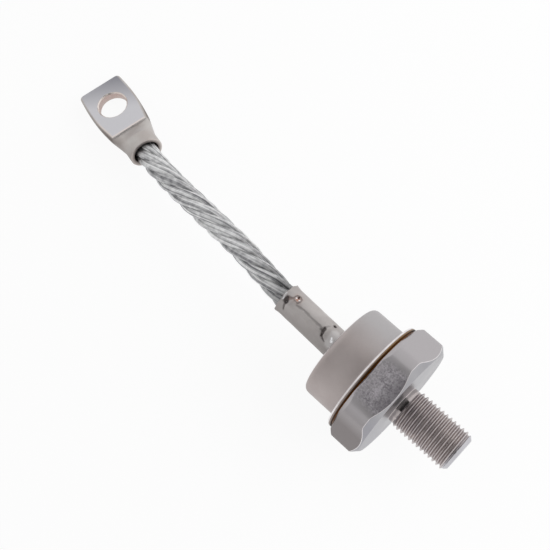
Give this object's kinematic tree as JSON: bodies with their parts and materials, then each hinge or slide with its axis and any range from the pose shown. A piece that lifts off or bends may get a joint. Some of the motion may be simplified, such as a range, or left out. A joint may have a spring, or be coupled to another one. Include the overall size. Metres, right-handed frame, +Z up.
{
  "type": "stud diode",
  "caption": "Stud-mounted rectifier diode: hexagon base with threaded stud, round sealed cap, terminal tube and a stranded pigtail lead that ends in a flattened tube lug.",
  "frame": {"origin": "centre of the seating face under the hexagon, on the stud's axis", "axes": "+X along the stud's axis from the seating face towards the cap and the lead, so the stud points to -X; +Z up, square to the hexagon's upper flat; the part lies on its lower flat and on the tip of its lug"},
  "size_m": [0.1246, 0.0294, 0.0271],
  "materials": {
    "nickel_plate": "satin nickel plate",
    "braze": "dull braze metal",
    "seal_glass": "fused sealing glass",
    "solder": "dull solder",
    "molybdenum": "lapped",
    "silicon": "etched silicon",
    "silicone": "cured silicone rubber",
    "copper": "bare copper",
    "tinned_strand": "tinned copper strands",
    "tinned_copper": "tinned copper"
  },
  "bodies": {
    "root": {"hex_stud_base": "nickel_plate", "braze_ring": "braze", "weld_ring": "nickel_plate", "cap": "nickel_plate", "glass_seal": "seal_glass", "terminal_tube": "nickel_plate", "base_solder": "solder", "lower_disc": "molybdenum", "lower_die_solder": "solder", "silicon_die": "silicon", "junction_coating": "silicone", "upper_die_solder": "solder", "upper_disc": "molybdenum", "button_solder": "solder", "contact_button": "copper", "inner_lead": "copper", "pigtail_lead": "tinned_strand", "terminal_lug": "tinned_copper"}
  },
  "joints": []
}
